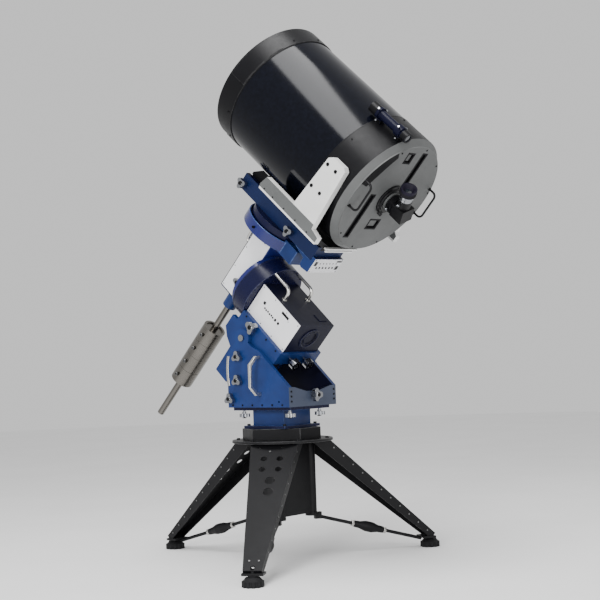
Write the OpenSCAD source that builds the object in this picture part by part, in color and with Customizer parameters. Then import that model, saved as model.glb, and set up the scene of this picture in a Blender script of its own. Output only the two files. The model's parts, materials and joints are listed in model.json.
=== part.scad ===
// Equatorial mount on a three-leg field tripod, carrying a large closed-tube telescope.
// Millimetres, +Z up, the floor is z = 0, the polar axis leans up towards -X (north).

/* [Pointing] */
// Latitude the polar axis is set to, degrees
lat = 44; // [32:1:56]
// Turn of the telescope on the declination shaft at rest, degrees
dec_rest = 3; // [-180:1:180]

/* [Tripod] */
// Distance of each foot from the tripod centre
foot_r = 727; // [500:1:900]
// Height of the underside of the top plate
plate_z = 538; // [400:1:700]
// Radius of the round top plate
plate_r = 232; // [190:1:260]
// Sheet thickness of the folded legs
leg_t = 5; // [3:0.5:8]
// Radius of the circle through the three column tubes
col_r = 130; // [100:1:150]

/* [Pier and wedge] */
// Side of the square pier tube
pier_w = 187; // [160:1:220]
// Outside width of the wedge
wedge_w = 332; // [300:1:360]
// Thickness of the wedge side plates
wedge_t = 20; // [12:1:24]

/* [Polar drive] */
// Width of the drive box
box_w = 242; // [220:1:250]
// Radius of the polar worm wheel housing
ra_disc_r = 165; // [155:1:175]

/* [Declination drive] */
// Radius of the declination worm wheel housing
dec_disc_r = 166; // [160:1:175]
// Diameter of the counterweight shaft
cw_d = 33; // [25:1:40]
// Outside diameter of each counterweight
weight_d = 112; // [100:1:130]
// Length of each counterweight
weight_l = 84; // [60:1:84]

/* [Telescope] */
// Outside radius of the tube
tube_r = 300; // [280:1:302]
// Distance of the tube axis from the floor along the declination axis
tube_d = 1591; // [1588:1:1600]

/* [Knobs] */
// Radius of the three-lobed clamp knobs
knob_r = 27; // [22:1:30]
// Radial clearance of a knob stem in its bore
fit = 0.05; // [0.02:0.01:0.1]

/* [Hidden] */
piv_x = -83;
piv_z = 1018;
piv_d = 674.6;
piv_p = 766.9;
ra_d = 845;
dec_p = 1043;
gap = 0.4;
wy = wedge_w / 2;
ry = 143;
hy = box_w / 2;
stem_r = 6;
leg_a = [180, 300, 60];
blue = [0.10, 0.22, 0.58];
navy = [0.07, 0.09, 0.22];
black = [0.06, 0.06, 0.07];
white = [0.90, 0.90, 0.90];
steel = [0.62, 0.60, 0.57];
chrome = [0.80, 0.81, 0.83];
brass = [0.76, 0.60, 0.28];
$fn = 64;

// ---- frames ----

// Frame of the polar axis: x away from it along the declination axis, z along it.
module polar() {
    translate([piv_x, 0, piv_z]) rotate([0, lat - 90, 0]) translate([-piv_d, 0, -piv_p]) children();
}

// Frame of the declination axis: x forwards along the tube, z along the axis.
module dec_frame() {
    polar() translate([0, 0, dec_p]) rotate([dec_rest, 0, 0])
        rotate([0, 90, 0]) rotate([0, 0, 180]) children();
}

// Frame of the tube: z forwards along its axis, x away from the mount.
module tube_frame() {
    dec_frame() translate([0, 0, tube_d]) rotate([0, 90, 0]) rotate([0, 0, 180]) children();
}

module leg_frame(a) {
    rotate([0, 0, a]) children();
}

// Lays a profile drawn as [x, height] flat on the side plane, thickness along y.
module side(y0, y1) {
    translate([0, y1, 0]) rotate([90, 0, 0]) linear_extrude(y1 - y0) children();
}

// ---- shared shapes ----

module lobes(r) {
    difference() {
        union() {
            circle(r = r * 0.62);
            for (a = [90, 210, 330]) rotate(a) translate([r * 0.58, 0]) circle(r = r * 0.42);
        }
        for (a = [30, 150, 270]) rotate(a) translate([r * 1.05, 0]) circle(r = r * 0.45);
    }
}

// Clamp knob: stem below z = 0, grip above it.
module tri_knob(r, stem, h) {
    cylinder(r = stem_r - fit, h = stem + 1);
    translate([0, 0, stem]) cylinder(r = r * 0.36, h = 9);
    translate([0, 0, stem + 8]) linear_extrude(h) lobes(r);
    translate([0, 0, stem + 8 + h]) cylinder(r1 = r * 0.42, r2 = r * 0.36, h = 3);
}

module y_knob(x, z, y, stem, r) {
    translate([x, y + stem, z]) rotate([90, 0, 0]) tri_knob(r, stem, 18);
}

// Bow handle: feet at x = 0 and x = l on the plane z = 0, grip at height h.
module bow(l, h, r) {
    b = h * 0.45;
    cylinder(r = r, h = h - b);
    translate([l, 0, 0]) cylinder(r = r, h = h - b);
    translate([b, 0, h]) rotate([0, 90, 0]) cylinder(r = r, h = l - 2 * b);
    translate([b, 0, h - b]) rotate([90, 0, 0]) rotate_extrude(angle = 90, start = 90)
        translate([b, 0]) circle(r = r);
    translate([l - b, 0, h - b]) rotate([90, 0, 0]) rotate_extrude(angle = 90, start = 0)
        translate([b, 0]) circle(r = r);
    for (x = [0, l]) translate([x, 0, 0]) cylinder(r = r * 1.5, h = 5);
}

// ---- tripod ----

module column() {
    color(black) difference() {
        union() {
            for (a = leg_a) leg_frame(a) {
                translate([col_r, 0, 196]) cylinder(r = 25, h = plate_z - 196);
                translate([col_r, 0, 190]) cylinder(r = 29, h = 14);
                translate([col_r + 14, -12, 172]) cube([32, 24, 32]);
            }
            for (a = [0, 120, 240]) leg_frame(a)
                translate([col_r / 2 + 6, 19 - col_r * 0.866, 204])
                    cube([8, col_r * 1.732 - 38, plate_z - 204]);
        }
        for (a = leg_a) leg_frame(a) {
            translate([col_r, 0, 186]) cylinder(r = 19, h = 400);
            translate([176, 0, 180.4]) rotate([0, 105.4, 0]) cylinder(r = 8 + fit, h = 30, center = true);
        }
    }
}

module top_plate() {
    color(black) translate([0, 0, plate_z]) difference() {
        cylinder(r = plate_r, h = 12, $fn = 96);
        translate([0, 0, -1]) cylinder(r = 60, h = 14);
    }
}

module hub() {
    color(black) translate([0, 0, plate_z + 12]) difference() {
        linear_extrude(53) intersection() {
            polygon([for (k = [0:2]) 296 * [cos(k * 120), sin(k * 120)]]);
            rotate(180) polygon([for (k = [0:2]) 340 * [cos(k * 120), sin(k * 120)]]);
        }
        translate([0, 0, -1]) cylinder(r = 60, h = 60);
    }
}

// Point on the outer face line of a leg: s runs from 0 at the top to 1 at the foot.
leg_top = [196, 537];
leg_bot = [738, 66];
leg_len = norm(leg_bot - leg_top);
leg_ang = atan2(leg_top[1] - leg_bot[1], leg_bot[0] - leg_top[0]);

// Leg frame: x down the leg, y across it, z out of its outer face.
module on_leg() {
    translate([leg_top[0], 0, leg_top[1]]) rotate([0, leg_ang, 0]) children();
}

leg_w0 = 104;
leg_w1 = 40;

// Half width of a leg at the distance x below its top, and the angle its flange leans in by.
function flange_y(x) = leg_w0 + 12 + (leg_w1 - leg_w0 - 12) * (x + 90) / (leg_len + 90);
leg_taper = atan((leg_w0 + 12 - leg_w1) / (leg_len + 90));

module leg() {
    w0 = leg_w0;
    w1 = leg_w1;
    d0 = 62;
    d1 = 30;
    intersection() {
        on_leg() difference() {
            translate([-90, 0, -d0 - 4]) linear_extrude(d0 + 4) polygon([[0, -w0 - 12], [leg_len + 90, -w1],
                [leg_len + 90, w1], [0, w0 + 12]]);
            translate([-91, 0, -d0 - 5]) linear_extrude(d0 + 5 - leg_t) polygon([[0, -w0 - 12 + leg_t],
                [leg_len + 72, -w1 + leg_t - 2], [leg_len + 72, w1 - leg_t + 2], [0, w0 + 12 - leg_t]]);
            rotate([90, 0, 0]) linear_extrude(400, center = true)
                polygon([[-120, -d0 - 2], [-120, -d0 - 60], [leg_len + 40, -d0 - 60], [leg_len + 40, -d1]]);
            for (y = [-36, 36], x = [88, 152]) translate([x, y, -20]) cylinder(r = 15.5, h = 40);
            for (x = [220, 286]) translate([x, 8, -20]) cylinder(r = 22.5, h = 40);
        }
        translate([0, -200, 44]) cube([900, 400, plate_z - gap - 44]);
    }
    translate([155.4, -104, plate_z - 8]) cube([38.6, 208, 8]);
    translate([foot_r - 48, -46, 44]) cube([60, 92, 10]);
}

module legs() {
    color(black) difference() {
        for (a = leg_a) leg_frame(a) leg();
        for (a = leg_a) leg_frame(a) {
            translate([foot_r, 0, 30]) cylinder(r = 8 + fit, h = 26);
            translate([foot_r, 0, 56]) cylinder(r = 9.5, h = 40);
            translate([640, 0, 52.4]) rotate([0, 105.4, 0]) cylinder(r = 8.2, h = 200, center = true);
        }
    }
}

module tripod_screws() {
    color(steel) for (a = leg_a) leg_frame(a) {
        on_leg() for (k = [0:10], s = [-1, 1]) translate([34 + k * 64, s * flange_y(34 + k * 64), -16])
            rotate([0, 0, -s * leg_taper]) rotate([s * -90, 0, 0]) cylinder(r = 3.4, h = 2.2);
        on_leg() for (q = [[22, -62], [22, 40], [46, -14], [668, -18], [668, 22]])
            translate([q[0], q[1], 0]) cylinder(r = 4, h = 2.2);
    }
}

// Tie rods run from the column to the feet; the turnbuckle sits midway.
module rod_frame(a) {
    leg_frame(a) translate([412, 0, 115.4]) rotate([0, 105.4, 0]) children();
}

module tie_rods() {
    color(black) for (a = leg_a) rod_frame(a) {
        translate([0, 0, -256]) cylinder(r = 8, h = 230);
        translate([0, 0, 26]) cylinder(r = 8, h = 252);
    }
}

module turnbuckle() {
    difference() {
        rotate_extrude() polygon([[8 + fit, -76], [15, -76], [17, -52], [26, -14], [26, 14], [17, 52],
            [15, 76], [8 + fit, 76]]);
        translate([-40, -9, -52]) cube([80, 18, 104]);
        cylinder(r = 12, h = 104, center = true);
    }
}

module turnbuckle_a() {
    color(black) rod_frame(leg_a[0]) turnbuckle();
}

module turnbuckle_b() {
    color(black) rod_frame(leg_a[1]) turnbuckle();
}

module turnbuckle_c() {
    color(black) rod_frame(leg_a[2]) turnbuckle();
}

module foot(a) {
    leg_frame(a) translate([foot_r, 0, 0]) {
        linear_extrude(24) difference() {
            circle(r = 46);
            for (k = [0:11]) rotate(k * 30) translate([48, 0]) circle(r = 7);
        }
        translate([0, 0, 23]) cylinder(r1 = 42, r2 = 30, h = 15);
        translate([0, 0, 37]) cylinder(r = 20, h = 6.6);
        cylinder(r = 8, h = 62);
    }
}

module foot_a() {
    color(black) foot(leg_a[0]);
}

module foot_b() {
    color(black) foot(leg_a[1]);
}

module foot_c() {
    color(black) foot(leg_a[2]);
}

// ---- pier ----

az_x = 139;
az_y = 104;
pier_z = plate_z + 65;

module pier() {
    color(blue) difference() {
        union() {
            translate([-124, -124, pier_z]) cube([248, 248, 12]);
            translate([-pier_w / 2, -pier_w / 2, pier_z]) cube([pier_w, pier_w, 83]);
            translate([-172, -138, pier_z + 83]) cube([344, 276, 14]);
            translate([0, 0, pier_z + 96]) cylinder(r = 60, h = 8);
        }
        translate([0, 0, pier_z - 1]) cylinder(r = 45, h = 120);
        translate([-pier_w / 2 + 8, -pier_w / 2 + 8, pier_z + 12]) cube([pier_w - 16, pier_w - 16, 70]);
        for (sx = [-1, 1], sy = [-1, 1]) translate([0, 0, pier_z + 80])
            rotate([0, 0, atan2(sy * az_y, sx * az_x)])
            rotate_extrude(angle = 24, start = -12) translate([norm([az_x, az_y]) - 9, 0]) square([18, 20]);
    }
}

// ---- azimuth body ----

base_z = pier_z + 97.5;

module wedge_plate(near) {
    difference() {
        union() {
            polygon([[-178, base_z], [191, base_z], [191, 789], [14, 958], [-22, 974], [-44, 992],
                [-83, 1018], [-121, 1006], [-178, 939]]);
            intersection() {
                translate([148, 868]) circle(r = 332, $fn = 160);
                translate([-190, 800]) square([60, 138]);
            }
            translate([piv_x, piv_z]) circle(r = 42);
        }
        translate([piv_x, piv_z]) circle(r = 14);
        if (near) for (q = [[-101, 933], [-105, 824], [-154, 741]]) translate(q) circle(r = stem_r);
        translate([130, 725]) circle(r = 5);
    }
}

module wedge() {
    color(blue) difference() {
        union() {
            translate([-178, -wy + wedge_t, base_z]) cube([369, wedge_w - 2 * wedge_t, 20]);
            side(-wy, -wy + wedge_t) wedge_plate(true);
            side(wy - wedge_t, wy) wedge_plate(false);
            translate([171, 0, 0]) rotate([90, 0, 90]) linear_extrude(20)
                polygon([[-wy + 1, base_z], [wy - 1, base_z], [wy - 1, 789], [128, 789], [40, 768],
                    [-40, 768], [-128, 789], [-wy + 1, 789]]);
        }
        translate([0, 0, base_z - 1]) cylinder(r = 60 + fit, h = 8);
        translate([160, 0, 750]) rotate([0, 90, 0]) cylinder(r = 9, h = 40);
        for (sx = [-1, 1], sy = [-1, 1])
            translate([sx * az_x, sy * az_y, base_z - 1]) cylinder(r = stem_r, h = 30);
    }
}

module wedge_fittings() {
    color(chrome) for (m = [0, 1]) mirror([0, m, 0]) {
        side(-wy - 3, -wy) difference() {
            intersection() {
                translate([148, 868]) circle(r = 332, $fn = 160);
                translate([-190, 801]) square([60, 136]);
            }
            translate([148, 868]) circle(r = 318, $fn = 160);
        }
        translate([14, -wy, 754]) rotate([90, 0, 90]) linear_extrude(14)
            polygon([[0, 0], [-30, 0], [-72, 38], [-72, 142], [-30, 180], [0, 180], [0, 166],
                [-24, 166], [-58, 135], [-58, 45], [-24, 14], [0, 14]]);
    }
}

module pivot_bolts() {
    color(chrome) for (m = [0, 1]) mirror([0, m, 0]) translate([piv_x, -wy - 6, piv_z]) rotate([-90, 0, 0]) {
        cylinder(r = 14 - fit, h = 6 + wy - ry + 20);
        translate([0, 0, -3]) cylinder(r = 15, h = 9);
    }
}

module azimuth_knob(sx, sy) {
    translate([sx * az_x, sy * az_y, base_z + 10]) rotate([180, 0, 0]) tri_knob(knob_r, 32, 16);
}

module azimuth_knob_a() {
    color(chrome) azimuth_knob(-1, -1);
}

module azimuth_knob_b() {
    color(chrome) azimuth_knob(1, 1);
}

module azimuth_knob_c() {
    color(chrome) azimuth_knob(1, -1);
}

module azimuth_knob_d() {
    color(chrome) azimuth_knob(-1, 1);
}

module latitude_knob_a() {
    color(chrome) y_knob(-101, 933, -wy - 1, 18, knob_r);
}

module latitude_knob_b() {
    color(chrome) y_knob(-105, 824, -wy - 1, 18, knob_r);
}

module corner_knob() {
    color(chrome) y_knob(-154, 741, -wy - 1, 18, knob_r);
}

module latitude_screw() {
    color(chrome) translate([120, 0, 750]) rotate([0, 90, 0]) {
        cylinder(r = 9 - fit, h = 76);
        translate([0, 0, 75]) cylinder(r = 12, h = 12);
        translate([0, 0, 86]) linear_extrude(18) lobes(32);
        translate([0, 0, 104]) cylinder(r1 = 13, r2 = 11, h = 3);
    }
}

// ---- latitude body ----

module rocker_plate() {
    difference() {
        polygon([[766, 560], [766, 857], [706, 862], [706, 896], [636, 896], [604, 857], [584, 812],
            [442, 808], [442, 722], [592, 690], [652, 640], [700, 560]]);
        translate([piv_d, piv_p]) circle(r = 14);
    }
}

module rocker() {
    color(blue) polar() difference() {
        union() {
            for (m = [0, 1]) mirror([0, m, 0]) translate([0, -ry + 22, 0]) rotate([90, 0, 0])
                linear_extrude(22) rocker_plate();
            translate([745, -ry + 1, 560]) cube([21, 2 * ry - 2, 296]);
            translate([700, -ry + 1, 560]) cube([64, 2 * ry - 2, 18]);
            translate([442, -ry + 1, 724]) cube([18, 2 * ry - 2, 82]);
        }
        for (y = [-48, 48]) translate([731, y, 550]) cylinder(r = stem_r, h = 40);
        translate([752, -ry - 1, 752]) rotate([-90, 0, 0]) cylinder(r = stem_r, h = 24);
    }
}

module clutch_knob() {
    color(chrome) polar() translate([752, -ry + 21, 752]) rotate([90, 0, 0]) tri_knob(32, 30, 20);
}

module round_knob(y) {
    polar() translate([731, y, 577]) rotate([180, 0, 0]) {
        cylinder(r = stem_r - fit, h = 40);
        translate([0, 0, 40]) difference() {
            cylinder(r = 25, h = 26);
            translate([0, 0, 20]) cylinder(r = 14, h = 10);
        }
        translate([0, 0, 58]) cylinder(r = 11, h = 6);
    }
}

module round_knob_a() {
    color(chrome) round_knob(-48);
}

module round_knob_b() {
    color(chrome) round_knob(48);
}

module ra_box() {
    color(navy) polar() difference() {
        union() {
            translate([766, -hy + 2, 569]) cube([158, box_w - 4, 291]);
            translate([ra_d, 0, 566]) cylinder(r = 56, h = 4);
            translate([918, 40, 600]) cube([9, 54, 44]);
        }
        translate([772, -hy + 8, 577]) cube([146, box_w - 16, 272]);
        translate([ra_d, 0, 575]) cylinder(r = 30, h = 300);
        translate([ra_d, 0, 560]) cylinder(r = 44, h = 8);
    }
}

module ra_panel() {
    color(white) polar() difference() {
        translate([766, -hy, 569]) cube([158, 2, 287]);
        translate([854, -hy - 1, 789]) cube([15, 4, 15]);
        for (p = [675, 698]) translate([844, -hy + 1, p]) rotate([90, 0, 0])
            cylinder(r = 7, h = 4, center = true);
    }
}

// Grip with one foot on the box and its other end on the face of the worm wheel housing.
module lid_grip(l, h, r) {
    b = 28;
    cylinder(r = r, h = h - b);
    cylinder(r = r * 1.5, h = 5);
    translate([b, 0, h - b]) rotate([90, 0, 0]) rotate_extrude(angle = 90, start = 90)
        translate([b, 0]) circle(r = r);
    translate([b, 0, h]) rotate([0, 90, 0]) cylinder(r = r, h = l - b);
}

module ra_handles() {
    color(chrome) for (y = [-80, 84]) polar() translate([924, y, 744]) rotate([0, 90, 0])
        rotate([0, 0, 180]) lid_grip(116, 56, 8);
}

module ra_housing() {
    color(navy) polar() difference() {
        translate([ra_d, 0, 860]) cylinder(r = ra_disc_r, h = 84, $fn = 128);
        translate([ra_d, 0, 868]) cylinder(r = ra_disc_r - 8, h = 68);
        translate([ra_d, 0, 850]) cylinder(r = 30, h = 100);
    }
}

module worm(l) {
    cylinder(r = 6, h = l, center = true);
    cylinder(r = 11, h = 56, center = true);
    translate([0, 0, 30]) cylinder(r = 8, h = 12);
}

module ra_worm() {
    color(steel) polar() translate([ra_d - 140, 0, 902]) rotate([90, 0, 0]) worm(96);
}

// ---- polar body ----

module ra_axis() {
    color(brass) polar() {
        translate([ra_d, 0, 590]) difference() {
            cylinder(r = 30 - fit, h = 360);
            translate([0, 0, -1]) cylinder(r = 18, h = 362);
        }
        translate([ra_d, 0, 880]) cylinder(r = 128, h = 44, $fn = 96);
    }
}

module dec_housing() {
    color(blue) polar() difference() {
        union() {
            translate([ra_d, 0, 950]) cylinder(r = 152, h = 22, $fn = 128);
            translate([722, -76, 967]) cube([353, 152, 131]);
            translate([632, 0, dec_p]) rotate([0, 90, 0]) cylinder(r = 33, h = 100);
        }
        translate([740, -64, 980]) cube([319, 128, 106]);
        translate([610, 0, dec_p]) rotate([0, 90, 0]) cylinder(r = cw_d / 2, h = 126);
        translate([1050, 0, dec_p]) rotate([0, 90, 0]) cylinder(r = 30, h = 40);
        translate([808, -70, 1004]) rotate([90, 0, 0]) cylinder(r = stem_r, h = 20, center = true);
    }
}

module dec_panel() {
    color(white) polar() translate([728, -78, 972]) difference() {
        cube([341, 2, 121]);
        translate([80, 1, 32]) rotate([90, 0, 0]) cylinder(r = 10, h = 4, center = true);
    }
}

module dec_knob() {
    color(chrome) polar() translate([808, -66, 1004]) rotate([90, 0, 0]) tri_knob(knob_r, 15, 16);
}

module dec_handle() {
    color(chrome) polar() translate([938, 0, 1098]) bow(118, 66, 8);
}

module dec_ring() {
    color(blue) polar() difference() {
        union() {
            translate([1075, 0, dec_p]) rotate([0, 90, 0]) cylinder(r = dec_disc_r, h = 55, $fn = 128);
            translate([1068, -88, 822]) cube([72, 176, 108]);
            translate([1075, -70, 880]) cube([54, 140, 60]);
        }
        translate([1083, 0, dec_p]) rotate([0, 90, 0]) cylinder(r = dec_disc_r - 8, h = 60, $fn = 96);
        translate([1060, 0, dec_p]) rotate([0, 90, 0]) cylinder(r = 30, h = 30);
        translate([1083, -62, 880]) cube([47, 124, 60]);
        translate([1132, -76, 834]) cube([10, 152, 34]);
    }
}

module dec_worm() {
    color(steel) polar() translate([1106, 0, dec_p - 140]) rotate([90, 0, 0]) worm(96);
}

module counterweight_shaft() {
    color(steel) polar() translate([-76, 0, dec_p]) rotate([0, 90, 0]) {
        cylinder(r = cw_d / 2, h = 208);
        translate([0, 0, 207]) cylinder(r = cw_d / 2 - 1, h = 6);
        translate([0, 0, 212]) cylinder(r = cw_d / 2, h = 600);
    }
}

module weight(k) {
    polar() translate([150 + k * 85, 0, dec_p]) rotate([0, 90, 0]) difference() {
        cylinder(r = weight_d / 2, h = weight_l);
        translate([0, 0, -1]) cylinder(r = cw_d / 2 + fit, h = weight_l + 2);
        translate([0, 0, weight_l - 6]) cylinder(r = 44, h = 10);
        for (s = [-1, 1]) translate([0, s * 53, weight_l / 2]) rotate([90, 0, 0]) cylinder(r = 9, h = 8, center = true);
    }
    polar() translate([150 + k * 85, 0, dec_p]) rotate([0, 90, 0])
        for (s = [-1, 1]) translate([0, s * 48, weight_l / 2]) rotate([s * -90, 0, 0]) cylinder(r = 7, h = 14);
}

module weight_a() {
    color(steel) weight(0);
}

module weight_b() {
    color(steel) weight(1);
}

module weight_c() {
    color(steel) weight(2);
}

module weight_d() {
    color(steel) weight(3);
}

// ---- declination body ----

module dec_axis() {
    color(navy) dec_frame() {
        translate([0, 0, 1062]) cylinder(r = 30 - fit, h = 80);
        translate([0, 0, 1090]) cylinder(r = 128, h = 32, $fn = 96);
        translate([0, 0, 1131]) cylinder(r = 152, h = 32, $fn = 128);
        translate([0, 0, 1110]) cylinder(r = 60, h = 40);
    }
}

module saddle() {
    color(blue) dec_frame() difference() {
        union() {
            translate([-300, -105, 1163]) cube([545, 210, 55]);
            for (s = [-1, 1]) translate([-300, s * 92 - 13, 1217]) cube([545, 26, 20]);
        }
        translate([-301, -76.4, 1218]) cube([560, 152.8, 30]);
        for (x = [-131, 222]) translate([x, 100, 1192]) rotate([90, 0, 0])
            cylinder(r = stem_r, h = 60, center = true);
    }
}

module saddle_knob(x) {
    dec_frame() translate([x, 72, 1192]) rotate([-90, 0, 0]) tri_knob(knob_r, 40, 18);
}

module saddle_knob_a() {
    color(chrome) saddle_knob(222);
}

module saddle_knob_b() {
    color(chrome) saddle_knob(-131);
}

module control_box() {
    color(navy) dec_frame() difference() {
        translate([0, 105, 0]) rotate([90, 0, 0]) linear_extrude(210)
            polygon([[-180, 1163], [-300, 1163], [-300, 1186], [-320, 1186], [-320, 1110], [-276, 1104],
                [-262, 1110], [-258, 1146]]);
        translate([0, 95, 0]) rotate([90, 0, 0]) linear_extrude(190)
            polygon([[-266, 1154], [-312, 1154], [-312, 1118], [-276, 1112], [-270, 1116]]);
    }
}

module control_panel() {
    color(white) dec_frame() translate([-322, -105, 1110]) difference() {
        cube([2, 210, 76]);
        for (k = [0:5]) translate([1, 50 + k * 24, 28]) rotate([0, 90, 0]) cylinder(r = 5, h = 4, center = true);
    }
}

// ---- telescope ----

module cradle_side(o) {
    polygon([[o, 1336], [o, 1368], [-352, 1380], [-338, 1668], [-322, 1680], [-252, 1680],
        [-232, 1664], [-206, 1400], [-20, 1400], [-6, 1356], [-12, 1336]]);
}

module cradle() {
    color(steel) dec_frame() difference() {
        union() {
            translate([0, 332, 0]) rotate([90, 0, 0]) linear_extrude(30.8) cradle_side(-402);
            translate([0, -301.2, 0]) rotate([90, 0, 0]) linear_extrude(30.8) cradle_side(-372);
        }
        for (m = [0, 1]) mirror([0, m, 0]) for (q = [[-298, 1640], [-246, 1640], [-290, 1520], [-234, 1520]])
            translate([q[0], -336, q[1]]) rotate([-90, 0, 0]) cylinder(r = 9, h = 8);
    }
}

module cradle_base() {
    color(black) dec_frame() {
        translate([-300, -76, 1218.4]) cube([530, 152, 22]);
        translate([-330, 0, 0]) rotate([90, 0, 90]) linear_extrude(330)
            polygon([[-301, 1337], [-301, 1349], [-292, 1349], [-80, 1262], [80, 1262], [292, 1349],
                [301, 1349], [301, 1337], [90, 1240], [-90, 1240]]);
        for (s = [-1, 1]) translate([0, s * 70 + 6, 0]) rotate([90, 0, 0]) linear_extrude(12)
            polygon([[-10, 1240], [236, 1240], [236, 1252], [196, 1288], [-10, 1288]]);
    }
}

module tube() {
    color(navy) tube_frame() translate([0, 0, -214]) difference() {
        cylinder(r = tube_r, h = 584, $fn = 160);
        translate([0, 0, -1]) cylinder(r = tube_r - 4, h = 586, $fn = 160);
    }
}

module front_cell() {
    color(black) tube_frame() difference() {
        union() {
            translate([0, 0, 362]) cylinder(r = tube_r + 4, h = 100, $fn = 160);
            translate([0, 0, 461]) cylinder(r1 = tube_r + 4, r2 = tube_r - 4, h = 8, $fn = 160);
            for (a = [35, 155, 275]) rotate([0, 0, a]) rotate_extrude(angle = 46, $fn = 160)
                translate([tube_r + 3, 366]) square([4, 88]);
        }
        translate([0, 0, 361]) cylinder(r = tube_r + 0.01, h = 9, $fn = 160);
        translate([0, 0, 360]) cylinder(r = tube_r - 26, h = 120, $fn = 160);
        translate([0, 0, 430]) cylinder(r = tube_r - 18, h = 12.4, $fn = 160);
    }
}

module rear_cell() {
    color(steel) tube_frame() difference() {
        union() {
            translate([0, 0, -366]) cylinder(r = tube_r + 1, h = 160, $fn = 160);
            translate([0, 0, -392]) cylinder(r1 = tube_r - 22, r2 = tube_r + 1, h = 26.5, $fn = 160);
            translate([0, 0, -398]) cylinder(r = tube_r - 22, h = 8, $fn = 160);
            translate([0, 0, -420]) cylinder(r = 46, h = 30);
        }
        translate([0, 0, -384]) cylinder(r = tube_r - 34, h = 190, $fn = 160);
        translate([0, 0, -214]) cylinder(r = tube_r + 0.01, h = 20, $fn = 160);
        translate([0, 0, -430]) cylinder(r = 36, h = 60);
        translate([70, 32, -400]) cube([172, 24, 12]);
        translate([-209, -146, -400]) cube([220, 24, 12]);
        translate([194, -72, -400]) cube([42, 38, 12]);
        translate([-160, -30, -400]) cube([42, 66, 12]);
        rotate([0, 0, -75]) translate([0, 0, -400]) rotate_extrude(angle = 43, $fn = 160)
            translate([260, 0]) square([14, 12]);
    }
}

module rear_handles() {
    color(black) tube_frame() for (s = [-1, 1]) translate([s > 0 ? -62 : -46, s * 256, -398])
        rotate([180, 0, 0]) bow(132, 46, 5);
}

module optics() {
    color(chrome) tube_frame() {
        translate([0, 0, 430.2]) cylinder(r = tube_r - 18.2, h = 12, $fn = 160);
        translate([0, 0, 390]) cylinder(r = 74, h = 40, $fn = 96);
        translate([0, 0, -372]) difference() {
            cylinder(r = 254, h = 58, $fn = 128);
            translate([0, 0, -1]) cylinder(r = 40, h = 60);
            translate([0, 0, 2452]) sphere(r = 2400, $fn = 200);
        }
    }
}

module diagonal() {
    color(black) tube_frame() rotate([0, 0, -27]) {
        translate([0, 0, -446]) cylinder(r = 36 - fit, h = 60);
        translate([0, 0, -452]) cylinder(r = 44, h = 26);
        translate([-34, -34, -520]) cube([68, 68, 70]);
        translate([33, 0, -485]) rotate([0, 90, 0]) cylinder(r = 31, h = 40);
        translate([72, 0, -485]) rotate([0, 90, 0]) cylinder(r = 28, h = 34);
        translate([105, 0, -485]) rotate([0, 90, 0]) difference() {
            cylinder(r = 36, h = 32);
            translate([0, 0, 14]) cylinder(r1 = 16, r2 = 30, h = 18.1);
        }
    }
}

module finder() {
    color(navy) tube_frame() rotate([0, 0, -25]) translate([tube_r, 0, 0]) {
        for (z = [-352, -236]) translate([1, -18, z]) cube([19, 36, 24]);
        translate([38, 0, -392]) difference() {
            union() {
                cylinder(r = 20, h = 232);
                cylinder(r = 24, h = 30);
                translate([0, 0, 190]) cylinder(r = 26, h = 42);
                translate([0, 0, 38]) cylinder(r = 27, h = 30);
                translate([0, 0, 176]) cylinder(r = 27, h = 12);
            }
            translate([0, 0, -1]) cylinder(r = 16, h = 6);
            translate([0, 0, 224]) cylinder(r = 22, h = 10);
        }
    }
}

column();
top_plate();
hub();
legs();
tripod_screws();
tie_rods();
turnbuckle_a();
turnbuckle_b();
turnbuckle_c();
foot_a();
foot_b();
foot_c();
pier();
wedge();
wedge_fittings();
pivot_bolts();
azimuth_knob_a();
azimuth_knob_b();
azimuth_knob_c();
azimuth_knob_d();
latitude_knob_a();
latitude_knob_b();
corner_knob();
latitude_screw();
rocker();
clutch_knob();
round_knob_a();
round_knob_b();
ra_box();
ra_panel();
ra_handles();
ra_housing();
ra_worm();
ra_axis();
dec_housing();
dec_panel();
dec_knob();
dec_handle();
dec_ring();
dec_worm();
counterweight_shaft();
weight_a();
weight_b();
weight_c();
weight_d();
dec_axis();
saddle();
saddle_knob_a();
saddle_knob_b();
control_box();
control_panel();
cradle();
cradle_base();
tube();
front_cell();
rear_cell();
rear_handles();
optics();
diagonal();
finder();
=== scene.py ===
import json
import math

import bmesh
import bpy
from mathutils import Matrix, Vector


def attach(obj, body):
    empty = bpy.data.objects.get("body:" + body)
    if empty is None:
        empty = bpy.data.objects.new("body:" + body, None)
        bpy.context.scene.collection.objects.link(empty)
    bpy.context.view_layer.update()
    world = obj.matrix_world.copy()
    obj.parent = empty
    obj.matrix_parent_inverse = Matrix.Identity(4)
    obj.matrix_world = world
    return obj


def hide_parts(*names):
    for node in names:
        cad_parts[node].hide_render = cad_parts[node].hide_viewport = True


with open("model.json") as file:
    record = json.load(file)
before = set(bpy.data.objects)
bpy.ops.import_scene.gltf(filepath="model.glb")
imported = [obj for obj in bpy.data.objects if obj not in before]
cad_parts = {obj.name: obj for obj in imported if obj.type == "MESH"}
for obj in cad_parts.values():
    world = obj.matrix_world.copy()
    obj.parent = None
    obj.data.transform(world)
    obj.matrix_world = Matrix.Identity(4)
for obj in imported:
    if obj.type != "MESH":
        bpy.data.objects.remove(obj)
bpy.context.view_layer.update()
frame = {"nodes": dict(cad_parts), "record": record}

MM = 0.001
record = frame["record"]
joints = {j["name"]: j for j in record["behaviour"]["joints"]}
BODY = {n: b for b, nodes in record["behaviour"]["bodies"].items() for n in nodes}


# ---- local frames: axes that follow the joints, with lengths in millimetres ----

def local_frame(origin, x, y, z):
    """A frame at an origin in metres, whose own unit is the millimetre."""
    m = Matrix((x, y, z)).transposed().to_4x4()
    m.translation = origin
    return m @ Matrix.Scale(MM, 4)


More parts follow.
